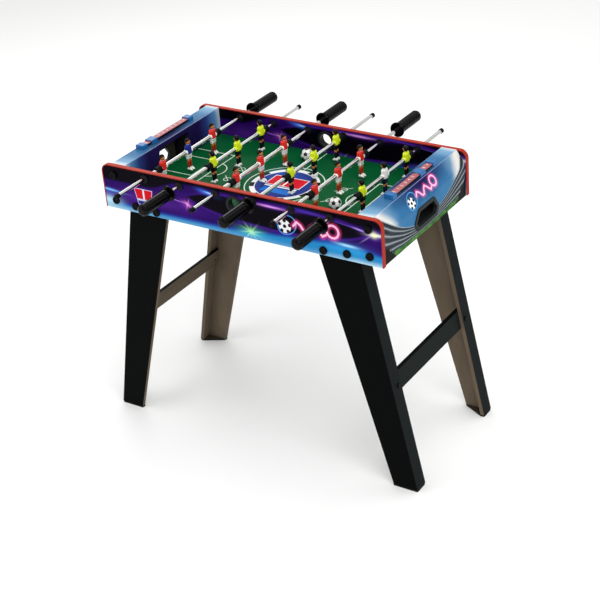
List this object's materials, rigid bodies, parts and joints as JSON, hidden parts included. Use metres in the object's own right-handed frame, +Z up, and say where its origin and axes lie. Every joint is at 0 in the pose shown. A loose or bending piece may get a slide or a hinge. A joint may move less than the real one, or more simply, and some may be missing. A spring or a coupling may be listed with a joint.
{
  "type": "football table",
  "caption": "Child-size football table on splayed legs, with sliding and spinning rods of players, ball returns, serve holes and slide score counters.",
  "frame": {"origin": "on the floor, at the centre of the four legs and of the playing field", "axes": "+X towards the right-hand goal as seen from the front, +Y from the front side panel to the back, +Z up"},
  "size_m": [0.7884, 0.655, 0.6438],
  "materials": {
    "printed_board": "glossy printed film on board",
    "edge_band": "semi-gloss red-orange edging",
    "field_print": "satin printed green",
    "black_board": "black film on fibreboard, brown cut edges",
    "black_plastic": "satin moulded black",
    "handle_grip": "satin black grip",
    "tray_plastic": "matt moulded black",
    "rod_steel": "bright chrome plate",
    "player_paint": "painted moulded plastic",
    "ball_white": "glossy white with black patches",
    "scorer_blue": "glossy blue",
    "scorer_pink": "pink label on black bar",
    "screw_steel": "zinc plated"
  },
  "bodies": {
    "table": {"front_side_panel": "printed_board", "back_side_panel": "printed_board", "front_edge_band": "edge_band", "back_edge_band": "edge_band", "playing_field": "field_print", "left_goal_board": "printed_board", "right_goal_board": "printed_board", "left_end_cover": "printed_board", "right_end_cover": "printed_board", "left_ball_tray": "tray_plastic", "right_ball_tray": "tray_plastic", "ball_return_bezels": "black_plastic", "serve_hole_rings": "black_plastic", "rod_bushings": "black_plastic", "score_rails": "scorer_pink", "score_brackets": "scorer_blue", "front_left_leg": "black_board", "front_right_leg": "black_board", "back_left_leg": "black_board", "back_right_leg": "black_board", "left_leg_brace": "black_board", "right_leg_brace": "black_board", "leg_feet": "black_plastic", "panel_screws": "screw_steel", "screw_caps": "black_plastic", "brace_bolts": "screw_steel"},
    "left_score_marker": {"left_score_marker": "scorer_blue"},
    "right_score_marker": {"right_score_marker": "scorer_blue"},
    "ball_1": {"ball_1": "ball_white"},
    "ball_2": {"ball_2": "ball_white"},
    "rod_1_slider": {"rod_1_bumpers": "black_plastic"},
    "rod_1": {"rod_1_shaft": "rod_steel", "rod_1_handle": "handle_grip", "rod_1_end_cap": "black_plastic", "rod_1_players": "player_paint"},
    "rod_2_slider": {"rod_2_bumpers": "black_plastic"},
    "rod_2": {"rod_2_shaft": "rod_steel", "rod_2_handle": "handle_grip", "rod_2_end_cap": "black_plastic", "rod_2_players": "player_paint"},
    "rod_3_slider": {"rod_3_bumpers": "black_plastic"},
    "rod_3": {"rod_3_shaft": "rod_steel", "rod_3_handle": "handle_grip", "rod_3_end_cap": "black_plastic", "rod_3_players": "player_paint"},
    "rod_4_slider": {"rod_4_bumpers": "black_plastic"},
    "rod_4": {"rod_4_shaft": "rod_steel", "rod_4_handle": "handle_grip", "rod_4_end_cap": "black_plastic", "rod_4_players": "player_paint"},
    "rod_5_slider": {"rod_5_bumpers": "black_plastic"},
    "rod_5": {"rod_5_shaft": "rod_steel", "rod_5_handle": "handle_grip", "rod_5_end_cap": "black_plastic", "rod_5_players": "player_paint"},
    "rod_6_slider": {"rod_6_bumpers": "black_plastic"},
    "rod_6": {"rod_6_shaft": "rod_steel", "rod_6_handle": "handle_grip", "rod_6_end_cap": "black_plastic", "rod_6_players": "player_paint"}
  },
  "joints": [
    {"name": "rod_1_slide", "type": "slide", "parent": "table", "child": "rod_1_slider", "axis": [0, 1, 0], "range_m": [-0.027, 0.081]},
    {"name": "rod_1_spin", "type": "hinge", "parent": "rod_1_slider", "child": "rod_1", "pos_m": [-0.22875, 0, 0.614], "axis": [0, 1, 0], "continuous": true},
    {"name": "rod_2_slide", "type": "slide", "parent": "table", "child": "rod_2_slider", "axis": [0, 1, 0], "range_m": [-0.084, 0.024]},
    {"name": "rod_2_spin", "type": "hinge", "parent": "rod_2_slider", "child": "rod_2", "pos_m": [-0.13725, 0, 0.614], "axis": [0, 1, 0], "continuous": true},
    {"name": "rod_3_slide", "type": "slide", "parent": "table", "child": "rod_3_slider", "axis": [0, 1, 0], "range_m": [-0.038, 0.07]},
    {"name": "rod_3_spin", "type": "hinge", "parent": "rod_3_slider", "child": "rod_3", "pos_m": [-0.04575, 0, 0.614], "axis": [0, 1, 0], "continuous": true},
    {"name": "rod_4_slide", "type": "slide", "parent": "table", "child": "rod_4_slider", "axis": [0, 1, 0], "range_m": [-0.105, 0.003]},
    {"name": "rod_4_spin", "type": "hinge", "parent": "rod_4_slider", "child": "rod_4", "pos_m": [0.04575, 0, 0.614], "axis": [0, 1, 0], "continuous": true},
    {"name": "rod_5_slide", "type": "slide", "parent": "table", "child": "rod_5_slider", "axis": [0, 1, 0], "range_m": [-0.053, 0.055]},
    {"name": "rod_5_spin", "type": "hinge", "parent": "rod_5_slider", "child": "rod_5", "pos_m": [0.13725, 0, 0.614], "axis": [0, 1, 0], "continuous": true},
    {"name": "rod_6_slide", "type": "slide", "parent": "table", "child": "rod_6_slider", "axis": [0, 1, 0], "range_m": [-0.087, 0.021]},
    {"name": "rod_6_spin", "type": "hinge", "parent": "rod_6_slider", "child": "rod_6", "pos_m": [0.22875, 0, 0.614], "axis": [0, 1, 0], "continuous": true},
    {"name": "left_score_slide", "type": "slide", "parent": "table", "child": "left_score_marker", "axis": [0, 1, 0], "range_m": [-0.0155, 0.1155]},
    {"name": "right_score_slide", "type": "slide", "parent": "table", "child": "right_score_marker", "axis": [0, 1, 0], "range_m": [-0.0985, 0.0325]},
    {"name": "ball_1_lift", "type": "slide", "parent": "table", "child": "ball_1", "axis": [0, 0, 1], "range_m": [0, 0.08]},
    {"name": "ball_2_lift", "type": "slide", "parent": "table", "child": "ball_2", "axis": [0, 0, 1], "range_m": [0, 0.08]}
  ]
}
